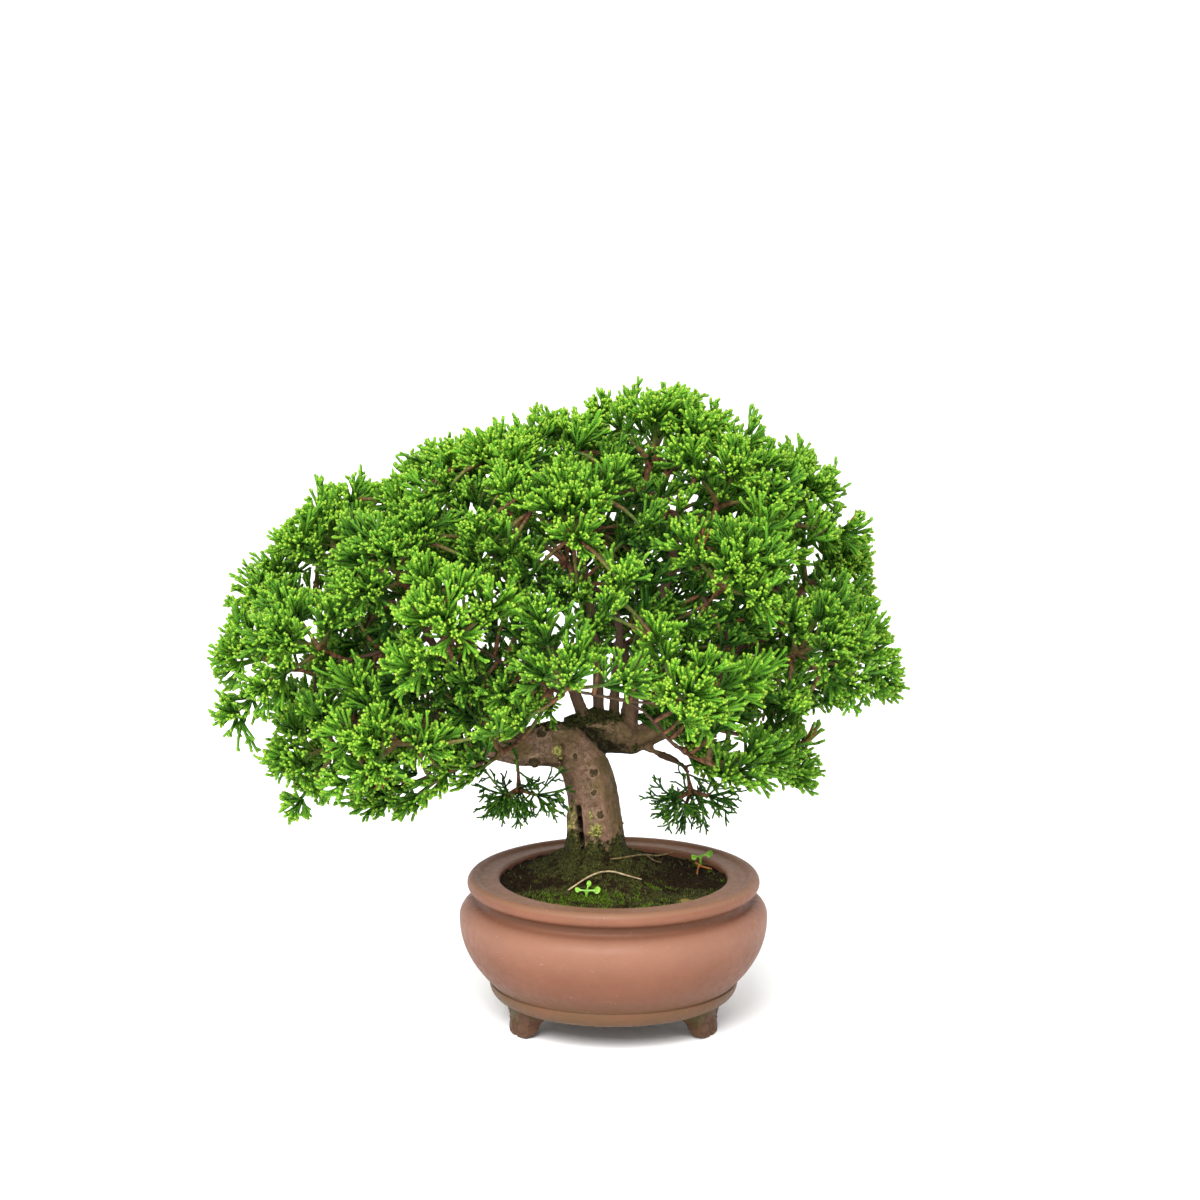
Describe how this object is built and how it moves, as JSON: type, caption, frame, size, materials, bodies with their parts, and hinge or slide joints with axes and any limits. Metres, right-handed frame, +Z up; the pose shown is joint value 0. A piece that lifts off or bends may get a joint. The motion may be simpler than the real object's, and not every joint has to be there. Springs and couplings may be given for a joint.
{
  "type": "bonsai tree in pot",
  "caption": "Chinese juniper bonsai with a bent trunk and a broad leafy crown, planted in a round unglazed clay pot on cloud feet",
  "frame": {"origin": "middle of the bounding box, on the surface that the feet stand on", "axes": "+X to the viewer's right along the crown's long way, +Y away from the viewer, +Z up"},
  "size_m": [0.3366, 0.26, 0.3146],
  "materials": {
    "clay": "matte unglazed brown-pink stoneware",
    "soil": "matte, dark moist soil with moss",
    "bark": "matte grey-brown bark",
    "foliage": "satin green scale leaves with yellow-green tips",
    "screen_plastic": "matte black",
    "seedling_leaf": "satin light green leaf",
    "dry_wood": "matte dry twig",
    "dead_sprig": "matte orange-brown dead sprig"
  },
  "bodies": {
    "root": {"pot": "clay", "soil": "soil", "drain_screen": "screen_plastic", "trunk_and_branches": "bark", "spray_01": "foliage", "spray_02": "foliage", "spray_03": "foliage", "spray_04": "foliage", "spray_05": "foliage", "spray_06": "foliage", "spray_07": "foliage", "spray_08": "foliage", "spray_09": "foliage", "spray_10": "foliage", "spray_11": "foliage", "spray_12": "foliage", "spray_13": "foliage", "spray_14": "foliage", "spray_15": "foliage", "spray_16": "foliage", "spray_17": "foliage", "spray_18": "foliage", "spray_19": "foliage", "spray_20": "foliage", "spray_21": "foliage", "spray_22": "foliage", "spray_23": "foliage", "spray_24": "foliage", "spray_25": "foliage", "spray_26": "foliage", "spray_27": "foliage", "spray_28": "foliage", "spray_29": "foliage", "spray_30": "foliage", "spray_31": "foliage", "spray_32": "foliage", "spray_33": "foliage", "spray_34": "foliage", "spray_35": "foliage", "spray_36": "foliage", "spray_37": "foliage", "spray_38": "foliage", "spray_39": "foliage", "seedling_front": "seedling_leaf", "seedling_right": "seedling_leaf", "fallen_twig_pale": "dry_wood", "fallen_twig_brown": "dry_wood", "fallen_sprig_orange": "dead_sprig"}
  },
  "joints": []
}
